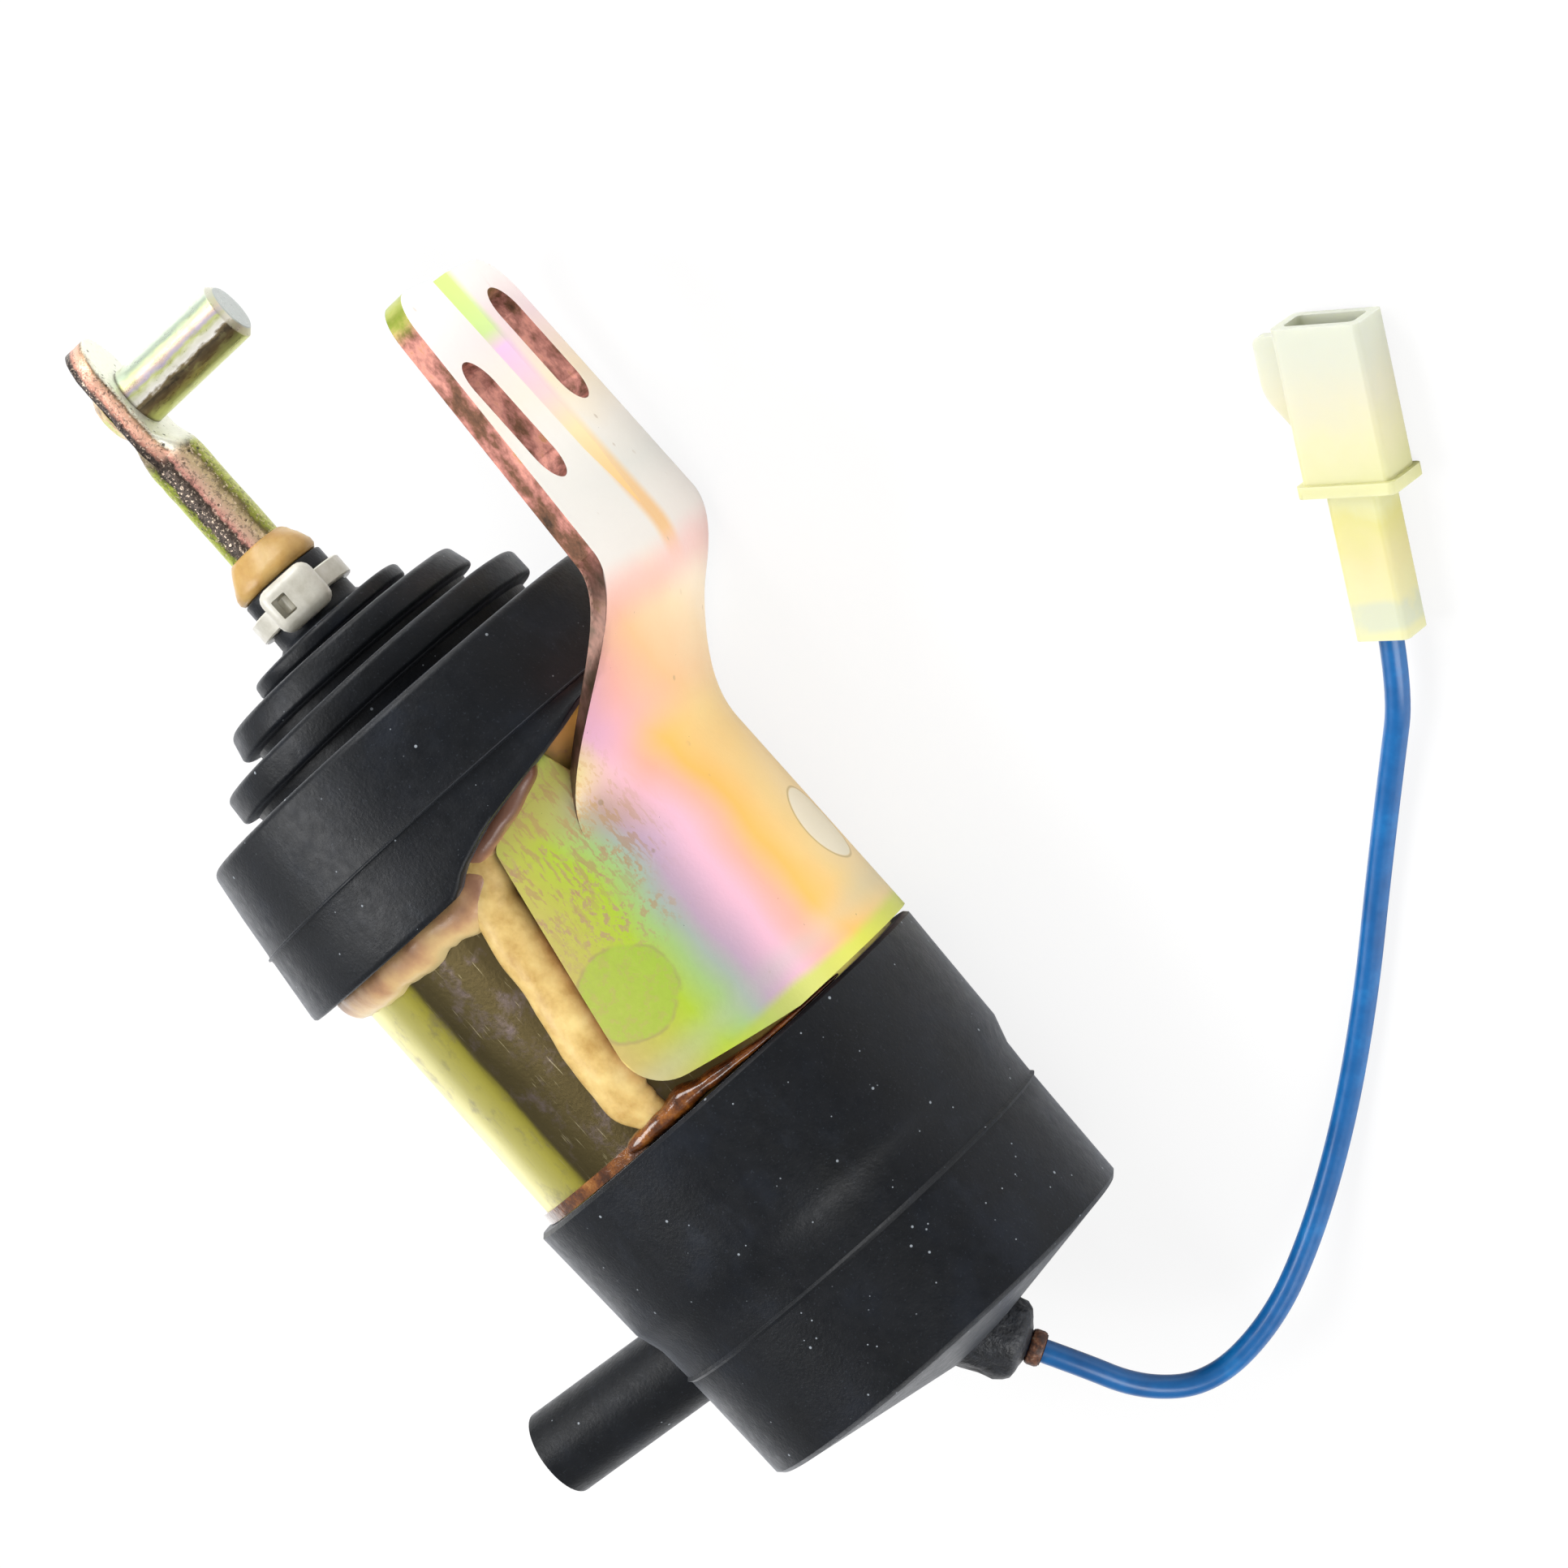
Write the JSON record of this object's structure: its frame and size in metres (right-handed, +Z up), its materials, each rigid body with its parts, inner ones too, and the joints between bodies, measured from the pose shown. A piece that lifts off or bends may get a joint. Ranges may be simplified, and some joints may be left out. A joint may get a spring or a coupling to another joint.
{
  "type": "fuel shutoff solenoid",
  "caption": "Round solenoid with a rubber boot and cap, a sprung push rod with an eye and lever pin, a bent slotted bracket and a short lead with a one-way connector",
  "frame": {"origin": "middle of the underside of the solenoid as it lies on its side, without its lead and connector", "axes": "+Z up; the solenoid's axis runs from the rod end to the cap end close to +X, dipping 3.83 degrees; the bracket's ear is on the +Y side"},
  "size_m": [0.1562, 0.1452, 0.055],
  "materials": {
    "can_plating": "olive and yellow zinc chromate plating, worn",
    "bare_steel": "plain machined steel",
    "bronze": "plain sintered bronze or brass",
    "rubber": "blue-black moulded rubber with a dull sheen",
    "nylon": "natural moulded nylon",
    "copper": "enamelled copper turns",
    "tape": "insulating tape and fibre",
    "bracket_plating": "iridescent yellow zinc chromate, lime to pink to gold",
    "rod_plating": "pitted zinc chromate, brown and pink with lime edges",
    "pin_plating": "bright zinc plating, pale gold-green",
    "sealant": "tan flexible sealant",
    "adhesive": "thin amber adhesive",
    "black_sealant": "lumpy black sealant",
    "stained_sleeve": "stained brown sleeve",
    "blue_pvc": "smooth blue lead insulation",
    "connector_nylon": "translucent pale yellow nylon",
    "terminal_brass": "tinned brass",
    "tie_nylon": "translucent natural nylon"
  },
  "bodies": {
    "housing": {"can": "can_plating", "front_plate": "bare_steel", "front_bush": "bronze", "bumper_washer": "rubber", "guide_tube": "bronze", "bobbin": "nylon", "winding": "copper", "winding_wrap": "tape", "rear_gasket": "tape", "pole_core": "bare_steel", "rear_plate": "bare_steel", "rear_ring": "bare_steel", "return_spring": "bare_steel", "rod_seal_ring": "rubber", "plunger_boot": "rubber", "mounting_bracket": "bracket_plating", "bracket_sealant": "sealant", "rim_adhesive": "adhesive", "rear_cap": "rubber", "coil_lead": "tape", "lead_splice": "bronze", "lead_seal": "black_sealant", "lead_collar": "stained_sleeve", "lead_wire": "blue_pvc", "connector_housing": "connector_nylon", "connector_terminal": "terminal_brass"},
    "plunger": {"plunger_core": "bare_steel", "plunger_rod": "rod_plating", "lever_pin": "pin_plating", "cable_tie": "tie_nylon", "rod_sealant": "sealant"}
  },
  "joints": [
    {"name": "plunger_slide", "type": "slide", "parent": "housing", "child": "plunger", "axis": [0.9978, 0, -0.0668], "range_m": [0, 0.01], "stiffness_N_per_m": 300, "springref_m": -0.01, "deforming": ["return_spring", "plunger_boot"]}
  ]
}
